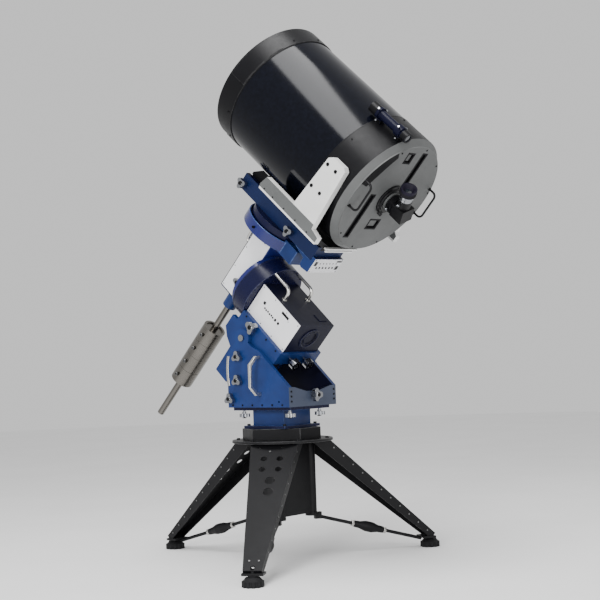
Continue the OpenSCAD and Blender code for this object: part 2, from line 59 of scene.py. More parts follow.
def turned(base, degrees):
    """A local frame turned about its own z."""
    return base @ Matrix.Rotation(math.radians(degrees), 4, "Z")


Y = Vector((0, 1, 0))
P = Vector(joints["ra_turn"]["axis"]).normalized()
D = Y.cross(P).normalized()
O = Vector(joints["telescope_balance"]["axis"]).normalized()
dec_pos = Vector(joints["dec_turn"]["pos_m"])
dec_origin = dec_pos - D * dec_pos.dot(D)
tube_pos = Vector(joints["diagonal_turn"]["pos_m"])
tube_origin = tube_pos - O * (tube_pos - dec_origin).dot(O)
WORLD = Matrix.Scale(MM, 4)
POLAR = local_frame((0, 0, 0), D, Y, P)
DEC = local_frame(dec_origin, O, D.cross(O), D)
TUBE = local_frame(tube_origin, D, O.cross(D), O)
DIAGONAL = turned(TUBE, -27)
FINDER = turned(TUBE, -25)
TURN = {
    "+x": Matrix.Rotation(math.pi / 2, 4, "Y"),
    "-x": Matrix.Rotation(-math.pi / 2, 4, "Y"),
    "+y": Matrix.Rotation(-math.pi / 2, 4, "X"),
    "-y": Matrix.Rotation(math.pi / 2, 4, "X"),
    "+z": Matrix.Identity(4),
    "-z": Matrix.Rotation(math.pi, 4, "X"),
}
BOTH_SIDES = ((-1, "-y"), (1, "+y"))


def at(base, x, y, z, axis="+z"):
    """A place in a local frame whose own z points along the given local axis."""
    return base @ Matrix.Translation((x, y, z)) @ TURN[axis]


def reach(node, base=WORLD):
    """The low and the high corner of a CAD node in a local frame, to a tenth of a millimetre."""
    back = base.inverted()
    points = [back @ v.co for v in frame["nodes"][node].data.vertices]
    low = [round(min(p[i] for p in points), 1) for i in range(3)]
    high = [round(max(p[i] for p in points), 1) for i in range(3)]
    return low, high


def joint_place(joint, base=WORLD):
    """A joint's position in a local frame, in whole millimetres."""
    return [round(c) for c in base.inverted() @ Vector(joints[joint]["pos_m"])]


def along_joint(joint):
    """A local frame at a joint, with z along its axis and y level."""
    z = Vector(joints[joint]["axis"]).normalized()
    y = Vector((0, 0, 1)).cross(z).normalized()
    return local_frame(Vector(joints[joint]["pos_m"]), y.cross(z), y, z)


# ---- materials ----

def noise(tree, vector, scale, detail=3.0, rough=0.55):
    node = tree.nodes.new("ShaderNodeTexNoise")
    node.inputs["Scale"].default_value = scale
    node.inputs["Detail"].default_value = detail
    node.inputs["Roughness"].default_value = rough
    tree.links.new(vector, node.inputs["Vector"])
    return node.outputs["Fac"]


def spread_of(tree, value, low, high):
    """The middle of a noise value, stretched from low to high."""
    node = tree.nodes.new("ShaderNodeMapRange")
    node.inputs["From Min"].default_value = 0.3
    node.inputs["From Max"].default_value = 0.7
    node.inputs["To Min"].default_value = low
    node.inputs["To Max"].default_value = high
    tree.links.new(value, node.inputs["Value"])
    return node.outputs["Result"]


def blend_tones(tree, value, first, second):
    """A colour that runs from one tone to the other with a noise value."""
    ramp = tree.nodes.new("ShaderNodeValToRGB")
    ramp.color_ramp.elements[0].position = 0.35
    ramp.color_ramp.elements[1].position = 0.65
    ramp.color_ramp.elements[0].color = (*first, 1)
    ramp.color_ramp.elements[1].color = (*second, 1)
    tree.links.new(value, ramp.inputs["Fac"])
    return ramp.outputs["Color"]


def bump(tree, value, strength, distance):
    node = tree.nodes.new("ShaderNodeBump")
    node.inputs["Strength"].default_value = strength
    node.inputs["Distance"].default_value = distance
    tree.links.new(value, node.inputs["Height"])
    return node.outputs["Normal"]


def along(tree, vector, axis):
    """How far a point lies along a direction, so that noise on it runs in lines across that direction."""
    dot = tree.nodes.new("ShaderNodeVectorMath")
    dot.operation = "DOT_PRODUCT"
    dot.inputs[1].default_value = axis
    tree.links.new(vector, dot.inputs[0])
    join = tree.nodes.new("ShaderNodeCombineXYZ")
    tree.links.new(dot.outputs["Value"], join.inputs["X"])
    return join.outputs["Vector"]


def surface(name, tone, rough, metal=0.0, fleck=0.12, patch=6.0, grain=900.0, relief=0.15,
            depth=0.0001, spread=0.05, level=0.5, coat=0.0, ior=1.45, lines=None, second=None):
    """A finish: mottled tone, uneven roughness and a fine relief."""
    m = bpy.data.materials.new(name)
    m.use_nodes = True
    tree = m.node_tree
    shader = tree.nodes["Principled BSDF"]
    where = tree.nodes.new("ShaderNodeTexCoord").outputs["Object"]
    light = second or tuple(min(1.0, c * (1 + fleck)) for c in tone)
    dark = tuple(c * (1 - fleck) for c in tone)
    tree.links.new(blend_tones(tree, noise(tree, where, patch, 6.0), dark, light),
                   shader.inputs["Base Color"])
    wear = noise(tree, where, patch * 5, 5.0, 0.65)
    tree.links.new(spread_of(tree, wear, rough - spread, rough + spread),
                   shader.inputs["Roughness"])
    fine = along(tree, where, lines) if lines else where
    tree.links.new(bump(tree, noise(tree, fine, grain, 2.0), relief, depth),
                   shader.inputs["Normal"])
    shader.inputs["Metallic"].default_value = metal
    shader.inputs["Specular IOR Level"].default_value = level
    shader.inputs["IOR"].default_value = ior
    shader.inputs["Coat Weight"].default_value = coat
    shader.inputs["Coat Roughness"].default_value = 0.12
    return m


LOOK = {
    # paint and powder coat
    "blue": surface("blue_paint", (0.008, 0.026, 0.115), 0.36, fleck=0.17, patch=10, grain=1100,
                    relief=0.3, spread=0.07, level=0.3),
    "collar": surface("blue_gloss", (0.009, 0.014, 0.115), 0.22, grain=1400, relief=0.08, level=0.6),
    "deep": surface("deep_blue", (0.006, 0.014, 0.06), 0.36, grain=1400, relief=0.2, level=0.25),
    "navy": surface("navy_paint", (0.005, 0.006, 0.030), 0.28, grain=1400, relief=0.08, ior=1.27),
    "casing": surface("dark_casing", (0.0035, 0.004, 0.015), 0.34, grain=1400, relief=0.2, ior=1.2),
    # a lighter blue-grey that paints a reflection on the wedge's end plate
    "slate": surface("painted_reflection_blue", (0.040, 0.052, 0.085), 0.42, grain=1400, relief=0.2, level=0.4),
    "black": surface("black_powder", (0.0055, 0.0055, 0.0065), 0.46, grain=700, relief=0.5, ior=1.28),
    "white": surface("panel_white", (0.78, 0.78, 0.80), 0.42, fleck=0.03, grain=1200, relief=0.08),
    "dish": surface("cast_grey_paint", (0.105, 0.108, 0.108), 0.5, fleck=0.1, grain=420, relief=0.55,
                    depth=0.0003, level=0.3),
    "tube": surface("tube_satin", (0.0022, 0.0027, 0.0055), 0.13, fleck=0.25, patch=60, grain=520,
                    relief=0.2, depth=0.00008, spread=0.02, ior=1.24),
    # the same paints, lighter where the edges are rounded: painted edge highlights, mottled by noise
    "blue_edge_highlight": surface("blue_painted_edge_highlight", (0.012, 0.036, 0.15), 0.32, patch=55, grain=900,
                         second=(0.055, 0.105, 0.27)),
    "navy_edge_highlight": surface("navy_painted_edge_highlight", (0.006, 0.007, 0.034), 0.3, patch=55, grain=900,
                         second=(0.035, 0.042, 0.095)),
    "black_edge_highlight": surface("black_painted_edge_highlight", (0.008, 0.008, 0.009), 0.38, patch=55, grain=900,
                          level=0.35, second=(0.045, 0.045, 0.047)),
    # metal
    "alloy": surface("black_anodised", (0.0045, 0.0045, 0.0055), 0.36, grain=1600, relief=0.15,
                     ior=1.22),
    "steel": surface("turned_steel", (0.17, 0.16, 0.145), 0.27, 1.0, fleck=0.07, patch=9, grain=260,
                     relief=0.12, spread=0.02, lines=tuple(D)),
    "bolt": surface("plated_bolt", (0.20, 0.20, 0.20), 0.32, 1.0, grain=1500, relief=0.2),
    "silver": surface("milled_silver", (0.80, 0.80, 0.79), 0.42, 0.35, fleck=0.05, grain=420,
                      relief=0.22, lines=tuple(O)),
    "grey": surface("milled_edge", (0.125, 0.13, 0.13), 0.45, 0.4, fleck=0.08, grain=420,
                    relief=0.25, lines=tuple(Y)),
    "chrome": surface("polished_chrome", (0.33, 0.34, 0.36), 0.17, 1.0, fleck=0.06, grain=300,
                      relief=0.05, spread=0.04),
    "satin": surface("satin_bow", (0.62, 0.61, 0.58), 0.3, 1.0, fleck=0.08, grain=900, relief=0.1),
    "bronze": surface("machined_bronze", (0.42, 0.27, 0.11), 0.3, 1.0, grain=500, relief=0.3),
    "thread": surface("cut_thread", (0.55, 0.54, 0.52), 0.28, 1.0, grain=300, relief=0.3),
    # rubber and plastic
    "rubber": surface("moulded_rubber", (0.006, 0.006, 0.007), 0.72, grain=500, relief=0.7,
                      depth=0.0003, level=0.3),
    "cup": surface("violet_rubber", (0.009, 0.007, 0.018), 0.62, grain=600, relief=0.5, level=0.25),
    "plastic": surface("black_plastic", (0.005, 0.005, 0.006), 0.36, grain=900, relief=0.3,
                       level=0.25),
    "dark": surface("dark_recess", (0.002, 0.002, 0.003), 0.6, grain=600, relief=0.4, level=0.2),
    # optics
    "mirror": surface("mirror_coat", (0.86, 0.87, 0.88), 0.05, 1.0, fleck=0.02, relief=0.0,
                      spread=0.02),
    "lens": surface("dark_lens", (0.010, 0.014, 0.022), 0.06, grain=200, relief=0.0, spread=0.02,
                    coat=1.0),
    # the studio
    "floor": surface("pale_floor", (0.90, 0.90, 0.90), 0.75, fleck=0.015, patch=1.5, grain=300,
                     relief=0.1, level=0.1),
}

# the lighter finish that each paint takes on its rounded edges, as a painted highlight
EDGE = {"blue": "blue_edge_highlight", "deep": "blue_edge_highlight", "collar": "blue_edge_highlight", "navy": "navy_edge_highlight",
        "casing": "navy_edge_highlight", "black": "black_edge_highlight", "alloy": "black_edge_highlight"}


# ---- building meshes ----

SHARP = math.radians(38)
FLAT = math.radians(0.5)
WELD = 0.00002


def hexagon(angle, apothem):
    """Distance from the centre to the edge of a hexagon at an angle."""
    return apothem / math.cos((angle + math.pi / 6) % (math.pi / 3) - math.pi / 6)


class Shape:
    """Collects solids in one mesh. Sizes are in the millimetres of the frame each solid is placed in."""

    def __init__(self):
        self.bm = bmesh.new()

    def ring(self, place, radius, z, segments, six, ripple):
        """One circle of points: a hexagon if six, or with a radius that ripples at every other point."""
        verts = []
        for k in range(segments):
            a = 2 * math.pi * k / segments
            r = hexagon(a, radius) if six else radius * (1 + ripple * math.cos(a * segments / 2))
            verts.append(self.bm.verts.new(place @ Vector((r * math.cos(a), r * math.sin(a), z))))
        return verts

    def lathe(self, profile, place, segments=24, ripple=0.0):
        """A turned solid from (radius, height) steps; a third entry makes that step six-sided."""
        rings = []
        for step in profile:
            if step[0] == 0:
                rings.append([self.bm.verts.new(place @ Vector((0, 0, step[1])))])
            else:
                rings.append(self.ring(place, step[0], step[1], segments, len(step) > 2, ripple))
        for low, high in zip(rings, rings[1:]):
            for k in range(segments):
                n = (k + 1) % segments
                corners = (low[k % len(low)], low[n % len(low)], high[n % len(high)],
                           high[k % len(high)])
                self.bm.faces.new(list(dict.fromkeys(corners)))

    def prism(self, outline, low, high, place):
        """A flat plate with the given outline, between two heights."""
        bottom = [self.bm.verts.new(place @ Vector((x, y, low))) for x, y in outline]
        top = [self.bm.verts.new(place @ Vector((x, y, high))) for x, y in outline]
        self.bm.faces.new(bottom[::-1])
        self.bm.faces.new(top)
        for k in range(len(outline)):
            n = (k + 1) % len(outline)
            self.bm.faces.new((bottom[k], bottom[n], top[n], top[k]))

    def block(self, low, high, place):
        """A box from its low to its high corner."""
        outline = [(low[0], low[1]), (high[0], low[1]), (high[0], high[1]), (low[0], high[1])]
        self.prism(outline, low[2], high[2], place)

    def screw(self, place, r, h):
        """A cap screw head with a hexagon socket."""
        self.lathe([(0, -0.5), (r, -0.5), (r, h * 0.8), (r * 0.88, h), (r * 0.52, h, 6),
                    (r * 0.5, h * 0.45, 6), (0, h * 0.4)], place)

    def knurled(self, place, steps, segments=24, ripple=0.04):
        """A small hand screw with a rippled grip."""
        self.lathe([(0, steps[0][1])] + list(steps) + [(0, steps[-1][1])], place, segments, ripple)

    def build(self, name):
        """Turns what was collected into an object."""
        bmesh.ops.recalc_face_normals(self.bm, faces=self.bm.faces)
        mesh = bpy.data.meshes.new(name)
        self.bm.to_mesh(mesh)
        self.bm.free()
        return bpy.data.objects.new(name, mesh)

    def piece(self, name, body, look, round_mm=0.0):
        """A piece of the model with one finish, which rides on a body."""
        obj = self.build(name)
        dress(obj, [look], round_mm)
        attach(obj, body)


def dress(obj, looks, round_mm):
    """Puts an object in the scene with its finishes and, for a size in mm, rounded edges with a painted
    highlight.
    """
    bpy.context.scene.collection.objects.link(obj)
    edge = EDGE.get(looks[0])
    for key in looks + ([edge] if edge else []):
        obj.data.materials.append(LOOK[key])
    for poly in obj.data.polygons:
        poly.use_smooth = True
    obj.data.set_sharp_from_angle(angle=SHARP)
    if round_mm:
        soft = obj.modifiers.new("edges", "BEVEL")
        soft.width = round_mm * MM
        soft.segments = 2
        soft.limit_method = "ANGLE"
        soft.angle_limit = SHARP
        # the bevel faces take the lighter edge finish: a painted highlight along each rounded edge
        soft.material = len(looks) if edge else -1
        even = obj.modifiers.new("normals", "WEIGHTED_NORMAL")
        even.weight = 100
        even.keep_sharp = True


def tidy_faces(bm, base, split):
    """Merges coplanar CAD triangles, cuts at the given heights, and keeps large faces as triangles."""
    bmesh.ops.remove_doubles(bm, verts=bm.verts, dist=WELD)
    bmesh.ops.dissolve_limit(bm, angle_limit=FLAT, verts=bm.verts, edges=bm.edges)
    for height in split:
        everything = bm.verts[:] + bm.edges[:] + bm.faces[:]
        bmesh.ops.bisect_plane(bm, geom=everything, plane_co=base @ Vector((0, 0, height)),
                               plane_no=base.to_3x3() @ Vector((0, 0, 1)))
    many = [f for f in bm.faces if len(f.verts) > 4]
    bmesh.ops.triangulate(bm, faces=many, ngon_method="BEAUTY")


def soften(node, looks, base=WORLD, pick=None, round_mm=1.2, split=()):
    """The CAD node's own shape with eased edges. pick(centre, normal) numbers each face's finish."""
    mesh = frame["nodes"][node].data.copy()
    mesh.materials.clear()
    bm = bmesh.new()
    bm.from_mesh(mesh)
    tidy_faces(bm, base, split)
    back = base.inverted()
    turn = back.to_3x3().normalized()
    for f in bm.faces:
        f.material_index = 0
        if pick:
            f.material_index = pick(back @ f.calc_center_median(), turn @ f.normal)
    mesh.clear_geometry()
    bm.to_mesh(mesh)
    bm.free()
    obj = bpy.data.objects.new(node + "_look", mesh)
    dress(obj, looks, round_mm)
    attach(obj, BODY[node])
    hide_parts(node)


def openings(box, across):
    """A pick for panels: 1 on the walls of the openings in a panel, whose thin side is the given axis."""
    low, high = box
    margin = 5
    sides = [i for i in range(3) if i != across]

    def pick(c, n):
        inside = all(low[i] + margin < c[i] < high[i] - margin for i in sides)
        return 1 if inside and abs(n[across]) < 0.5 else 0

    return pick


# ---- places that several parts share, in millimetres ----

# the two axes, in POLAR
RA_D = joint_place("ra_turn", POLAR)[0]
DEC_P = joint_place("dec_turn", POLAR)[2]
# outer faces of the frames
WEDGE_END = reach("wedge")[1][0]
WEDGE_SIDE = reach("wedge")[1][1]
ROCKER_SIDE = reach("rocker", POLAR)[1][1]
# the white panels and the round housing, as low and high corners
RA_PANEL = reach("ra_panel", POLAR)
DEC_PANEL = reach("dec_panel", POLAR)
CONTROL_PANEL = reach("control_panel", DEC)
RA_HOUSING = reach("ra_housing", POLAR)
# the telescope: its radius, the face of the rear casting that the handles stand on,
# the height of the eyepiece's axis, and how far the finder's axis lies from the tube's
TUBE_RADIUS = reach("tube", TUBE)[1][0]
CASTING = reach("rear_handles", TUBE)[1][2]
EYE_AXIS = -485
FINDER_AXIS = 338
# screw heads: radius and height
PANEL_SCREW = (2.6, 1.2)
SMALL_SCREW = (4.5, 2.5)


# ---- tripod ----

def tripod():
    for node, look, round_mm in (("column", "black", 1.5), ("top_plate", "black", 2),
                                 ("hub", "alloy", 3), ("legs", "black", 1.2),
                                 ("tripod_screws", "bolt", 0.5), ("tie_rods", "black", 0.8)):
        soften(node, [look], round_mm=round_mm)
    for k in "abc":
        soften("turnbuckle_" + k, ["black"], round_mm=1)
        soften("foot_" + k, ["rubber"], round_mm=2.5)
    plate_screws()
    for k in "abc":
        rod_threads(k)


def plate_screws():
    """Screws round the rim of the top plate, and at the corners of the pier's lower flange."""
    plate_radius, plate_top = reach("top_plate")[1][1:]
    flange_top = reach("pier")[0][2] + 12
    heads = Shape()
    for k in range(6):
        a = math.radians(60 * k + 30)
        r = plate_radius - 24
        heads.screw(at(WORLD, r * math.cos(a), r * math.sin(a), plate_top), 8, 7)
    for sx in (-1, 1):
        for sy in (-1, 1):
            heads.screw(at(WORLD, sx * 108, sy * 108, flange_top), 8, 8)
    heads.piece("plate_screws", "tripod", "alloy")


def rod_threads(k):
    """The threaded rod ends inside a turnbuckle, and a six-sided lock nut outside each of its ends."""
    place = along_joint("turnbuckle_" + k + "_turn")
    root = 8.2
    crest = 9.3
    shape = Shape()
    for s in (-1, 1):
        steps = [(0, s * 25.5), (root - 0.1, s * 25.5)]
        for z in range(26, 54, 2):
            steps += [(root, s * z), (crest, s * (z + 1))]
        steps += [(root - 0.1, s * 54), (0, s * 54)]
        shape.lathe(steps, place, 20)
        shape.lathe([(root, s * 77, 6), (13, s * 77, 6), (14.2, s * 79, 6), (14.2, s * 87, 6),
                     (13, s * 89, 6), (root, s * 89, 6)], place, 36)
    shape.piece("rod_threads_" + k, "tripod", "thread")


# ---- wedge and rocker ----

def painted_shade_inside(c, n, floor=0):
    """1 on the faces of two side plates that look at each other, and on a floor between them: the faces
    that are painted dark as shade.
    """
    return 1 if c.y * n.y < -1 or (n.z > 0.5 and c.z < floor and abs(c.y) < 150) else 0


def wedge_look(c, n):
    """1 on the outer face of the end plate, painted lighter as a reflection, 2 on the inside of the
    wedge, painted dark as shade, 0 elsewhere.
    """
    if n.x > 0.7 and c.x > WEDGE_END - 2:
        return 1
    return 2 * painted_shade_inside(c, n, floor=730)


def pier_look(c, n):
    """0 on the square tube of the pier, 1 on the flanges at its ends."""
    return 0 if 614.5 < c.z < 685.5 else 1


def wedge():
    soften("pier", ["blue", "navy"], pick=pier_look, round_mm=1.5)
    # the wedge's inside takes the dark finish as painted shade, and its end plate a lighter tone as a
    # painted reflection
    soften("wedge", ["blue", "slate", "casing"], pick=wedge_look, round_mm=2)
    soften("wedge_fittings", ["satin"], round_mm=2)
    soften("pivot_bolts", ["chrome"], round_mm=1)
    # the rocker's inner faces take the dark finish as painted shade
    soften("rocker", ["blue", "casing"], POLAR, painted_shade_inside, 2)
    scale_marks()
    heads = Shape()
    for s, axis in BOTH_SIDES:
        for x in range(-150, 151, 60):
            heads.screw(at(WORLD, x, s * WEDGE_SIDE, 711, axis), *SMALL_SCREW)
        for z in (726, 748, 770):
            heads.screw(at(WORLD, WEDGE_END, s * 150, z, "+x"), *SMALL_SCREW)
    heads.piece("wedge_screws", "azimuth", "alloy")
    heads = Shape()
    for s, axis in BOTH_SIDES:
        for p in (590, 665, 825):
            heads.screw(at(POLAR, 755, s * ROCKER_SIDE, p, axis), *SMALL_SCREW)
    heads.piece("rocker_screws", "latitude", "alloy")


def scale_marks():
    """Engraved marks on the two curved latitude scales, every fifth one longer."""
    centre_x = 148
    centre_z = 868
    outer = 331
    shape = Shape()
    for s in (-1, 1):
        centre = WORLD @ Matrix.Translation((centre_x, s * 169.1, centre_z))
        for k in range(25):
            a = math.radians(169 + k * 0.95)
            inner = outer - (5.5 if k % 5 else 10)
            shape.block((inner, -0.25, -0.5), (outer, 0.25, 0.5), centre @ Matrix.Rotation(-a, 4, "Y"))
    shape.piece("scale_marks", "azimuth", "dark")


# ---- polar drive ----

def polar_drive():
    soften("ra_box", ["casing"], POLAR, round_mm=2)
    soften("ra_panel", ["white", "dark"], POLAR, openings(RA_PANEL, 1), 0.4)
    soften("ra_handles", ["satin"], round_mm=1)
    soften("ra_housing", ["navy"], round_mm=2.5)
    soften("ra_worm", ["steel"], round_mm=0.5)
    soften("ra_axis", ["bronze"], round_mm=1)
    panel_screws("ra_panel_screws", "latitude", RA_PANEL[0][1], (775, 914), (579, 667, 755, 845))
    ra_ports()
    box_end = reach("ra_box", POLAR)[0][2]
    rings = Shape()
    rings.lathe([(33, 0), (37, 0), (37, 2), (35, 2.6), (33, 2)],
                at(POLAR, RA_D + 5, 0, box_end, "-z"), 48)
    rings.lathe([(44.5, 0), (56, 0), (55, 2.2), (46, 2.2), (44.5, 0)],
                at(POLAR, RA_D, 0, box_end, "-z"), 64)
    rings.piece("ra_box_ring", "latitude", "casing", 0.6)
    ra_rim()


def panel_screws(name, body, face, columns, rows):
    """Small screws in the near face of a white panel."""
    heads = Shape()
    for d in columns:
        for p in rows:
            heads.screw(at(POLAR, d, face, p, "-y"), *PANEL_SCREW)
    heads.piece(name, body, "alloy")


def ra_ports():
    """Two sockets, a row of dots, a switch and a bar on the panel of the polar drive."""
    face = RA_PANEL[0][1]
    ports = Shape()
    for p in (675, 698):
        ports.lathe([(0, -0.5), (6.2, -0.5), (6.2, 1.6), (4.2, 1.6), (3.8, -0.2), (0, -0.2)],
                    at(POLAR, 844, face + 1.4, p, "-y"))
    for k, p in enumerate((716, 728, 741, 755, 768, 780)):
        ports.lathe([(0, 0), (4.6, 0), (4.6, 1.2), (3.2, 1.2), (2.8, 0.3), (0, 0.3)],
                    at(POLAR, 843 + 2 * (k % 2), face, p, "-y"))
    ports.block((856, face + 0.2, 791), (867, face + 1.8, 802), POLAR)
    ports.block((893, face - 1, 640), (905, face + 0.1, 690), POLAR)
    ports.block((888, face - 1, 632), (891, face + 0.1, 636), POLAR)
    ports.piece("ra_ports", "latitude", "plastic")


def ra_rim():
    """The raised rim of the round housing, and the screws round its lower face."""
    low, high = RA_HOUSING[0][2], RA_HOUSING[1][2]
    radius = RA_HOUSING[1][1]
    rim = Shape()
    rim.lathe([(radius - 6, 0), (radius + 1, 0), (radius + 1.6, 3), (radius + 1, 6), (radius - 6, 6)],
              at(POLAR, RA_D, 0, high - 5), 128)
    for k in range(12):
        a = math.radians(30 * k + 15)
        r = radius - 8
        rim.screw(at(POLAR, RA_D + r * math.cos(a), r * math.sin(a), low, "-z"), 4, 3)
    rim.piece("ra_rim", "latitude", "navy", 0.6)


# ---- declination drive ----

def dec_drive():
    """The casing's round foot and the ring are glossy; the casing and the worm block are plain blue."""
    foot_top = 973
    block_top = 931
    block_side = 90
    soften("dec_housing", ["blue", "collar"], POLAR, round_mm=2.5,
           pick=lambda c, n: 1 if c.z < foot_top else 0)
    soften("dec_panel", ["white", "dark"], POLAR, round_mm=0.4,
           pick=lambda c, n: 1 if n.x < -0.7 or n.z > 0.7 else 0)
    soften("dec_handle", ["satin"], round_mm=1)
    soften("dec_ring", ["collar", "blue"], POLAR, round_mm=2.5,
           pick=lambda c, n: 1 if c.z < block_top and abs(c.y) < block_side else 0)
    soften("dec_worm", ["steel"], round_mm=0.5)
    soften("counterweight_shaft", ["steel"], round_mm=2)
    for k in "abcd":
        soften("weight_" + k, ["steel"], round_mm=1.8)
    soften("dec_axis", ["navy"], round_mm=2.5)
    panel_screws("dec_panel_screws", "polar", DEC_PANEL[0][1], (738, 848, 958, 1058), (981, 1084))
    dec_border()
    dec_bolts()
    for k in "abcd":
        weight_screws("weight_" + k)


def dec_border():
    """A dark strip along the lower end and the top of the white panel."""
    low, high = DEC_PANEL
    width = 3
    end = low[0] - width
    top = high[2] + width
    trim = Shape()
    trim.block((end, low[1] - 0.6, low[2] - width), (low[0], -74, top), POLAR)
    trim.block((end, low[1] - 0.6, high[2]), (high[0] + 1, -74, top), POLAR)
    trim.piece("dec_panel_border", "polar", "alloy", 0.4)


def dec_bolts():
    """Bolts round the lower face of the worm wheel housing, and three on its worm block and side."""
    low, high = reach("dec_ring", POLAR)
    ring_face = reach("dec_housing", POLAR)[1][0]
    bolts = Shape()
    for k in range(12):
        a = math.radians(30 * k)
        r = high[1] - 8
        bolts.screw(at(POLAR, ring_face, r * math.sin(a), DEC_P + r * math.cos(a), "-x"), 4, 3)
    for y in (-70, 70):
        bolts.screw(at(POLAR, high[0], y, 924, "+x"), 4.5, 4)
    bolts.screw(at(POLAR, 1104, low[1], DEC_P, "-y"), 6, 12)
    bolts.piece("dec_ring_bolts", "polar", "alloy")


def weight_screws(name):
    """Clamp screws with grip grooves, on both sides of a counterweight."""
    low, high = reach(name, POLAR)
    shape = Shape()
    for s, axis in BOTH_SIDES:
        shape.lathe([(0, 0), (8.2, 0), (8.6, 1), (8.6, 6), (7.8, 7), (4.6, 7, 6), (4.4, 3, 6), (0, 3)],
                    at(POLAR, (low[0] + high[0]) / 2, s * high[1], DEC_P, axis), 36, 0.03)
    shape.piece(name + "_screws", name, "bolt")


# ---- knobs ----

def knob(name, base, axis, round_mm=2.2, r=9.0, sink=0):
    """A clamp knob and the cap in its outer end, which faces along the given axis and may be sunk."""
    soften(name, ["chrome"], round_mm=round_mm)
    low, high = reach(name, base)
    place = joint_place(name + "_turn", base)
    k = "xyz".index(axis[1])
    place[k] = low[k] + sink if axis[0] == "-" else high[k] - sink
    shape = Shape()
    shape.lathe([(0, -0.4), (r, -0.4), (r, 1.6), (r - 1.2, 2.6), (r * 0.45, 2.6, 6),
                 (r * 0.42, 0.6, 6), (0, 0.6)], at(base, *place, axis))
    shape.piece(name + "_cap", BODY[name], "plastic")


def knobs():
    for name in ("latitude_knob_a", "latitude_knob_b", "corner_knob"):
        knob(name, WORLD, "-y")
    for k in "abcd":
        knob("azimuth_knob_" + k, WORLD, "-z")
    knob("latitude_screw", WORLD, "+x", r=10)
    knob("clutch_knob", POLAR, "-y", 2.4, 10.5)
    for k in "ab":
        knob("round_knob_" + k, POLAR, "-z", 2.5, 8, sink=2)
    knob("dec_knob", POLAR, "-y")
    for k in "ab":
        knob("saddle_knob_" + k, DEC, "+y")


# ---- saddle, control box and cradle ----

def saddle():
    soften("saddle", ["deep", "navy"], DEC, round_mm=2,
           pick=lambda c, n: 1 if n.z > 0.7 else 0)
    soften("control_box", ["blue", "navy"], DEC, round_mm=2,
           pick=lambda c, n: 1 if n.z > 0.5 or n.x < -0.5 else 0)
    soften("control_panel", ["white", "dark"], DEC, openings(CONTROL_PANEL, 0), 0.4)
    control_ports()
    end_bars()


def end_bars():
    """Two silver bars across the end of the telescope's base, above the saddle it slides in."""
    end = reach("cradle_base", DEC)[0][0]
    bars = Shape()
    bars.block((end - 8, -100, 1239.5), (end - 0.4, 100, 1247), DEC)
    bars.block((end - 14, -118, 1256), (end - 0.4, 118, 1265), DEC)
    bars.piece("saddle_end_bars", "telescope", "silver", 1)


def control_ports():
    """Screws, a row of buttons over a row of sockets, and three labels without lettering."""
    face = CONTROL_PANEL[0][0]
    panel = Shape()
    for y in (-98, 98):
        for z in (1116, 1180):
            panel.screw(at(DEC, face, y, z, "-x"), *PANEL_SCREW)
    for k in range(6):
        panel.lathe([(0, 0), (3.4, 0), (3.4, 1), (2.2, 1.4), (0, 1.4)],
                    at(DEC, face, -66 + k * 24, 1162, "-x"), 16)
        panel.lathe([(0, 0), (4.6, 0), (4.6, 2), (3, 2), (2.6, 0.4), (0, 0.4)],
                    at(DEC, face, -55 + k * 24, 1138, "-x"))
    panel.block((face - 1.2, -98, 1170), (face + 0.2, -62, 1178), DEC)
    panel.block((face - 1.5, 76, 1150), (face + 0.2, 94, 1172), DEC)
    panel.block((face - 1.5, -96, 1128), (face + 0.2, -76, 1148), DEC)
    panel.piece("control_ports", "declination", "plastic", 0.2)


def cradle():
    """The two silver side plates, grey along the strip that is bolted to the base."""
    low, high = 1345, 1400
    soften("cradle", ["silver", "grey"], DEC, round_mm=2, split=(low, high),
           pick=lambda c, n: 1 if low < c.z < high and abs(n.y) > 0.5 else 0)
    soften("cradle_base", ["alloy"], DEC, round_mm=1.5)
    foot_side = reach("cradle", DEC)[1][1]
    bolts = Shape()
    for s, axis in BOTH_SIDES:
        for x, z in ((-298, 1640), (-246, 1640), (-290, 1520), (-234, 1520)):
            bolts.screw(at(DEC, x, s * (foot_side - 4), z, axis), 7.6, 6)
        for x in (-340, -260, -180, -100, -40):
            bolts.screw(at(DEC, x, s * foot_side, 1352, axis), 3.4, 1.5)
    bolts.piece("cradle_bolts", "telescope", "alloy")


# ---- telescope ----

def rear_look(c, n):
    """0 grey dish, 1 black band, 2 floors of the recesses, painted dark as shade."""
    r = math.hypot(c.x, c.y)
    if c.z > -364 and r > 290:
        return 1
    if CASTING + 1 < c.z < CASTING + 12 and r < 277:
        return 2
    return 0


def telescope():
    soften("tube", ["tube"], TUBE, round_mm=0.8)
    soften("front_cell", ["alloy"], TUBE, round_mm=2)
    # the floors of the recesses take the dark finish as painted shade
    soften("rear_cell", ["dish", "alloy", "dark"], TUBE, rear_look, 1.5)
    soften("rear_handles", ["plastic"], TUBE, round_mm=0.8)
    soften("optics", ["lens", "mirror"], TUBE, round_mm=1,
           pick=lambda c, n: 1 if c.z < 380 else 0)
    trim = Shape()
    inner = TUBE_RADIUS + 0.2
    outer = TUBE_RADIUS + 1.6
    for z in (-204, 361):
        trim.lathe([(inner, z - 3), (outer, z - 2), (outer, z + 2), (inner, z + 3)], TUBE, 160)
    trim.piece("tube_bands", "telescope", "alloy")
    tube_bolts()
    dish_plates()
    focus_flange()
    eyepiece()
    finder()


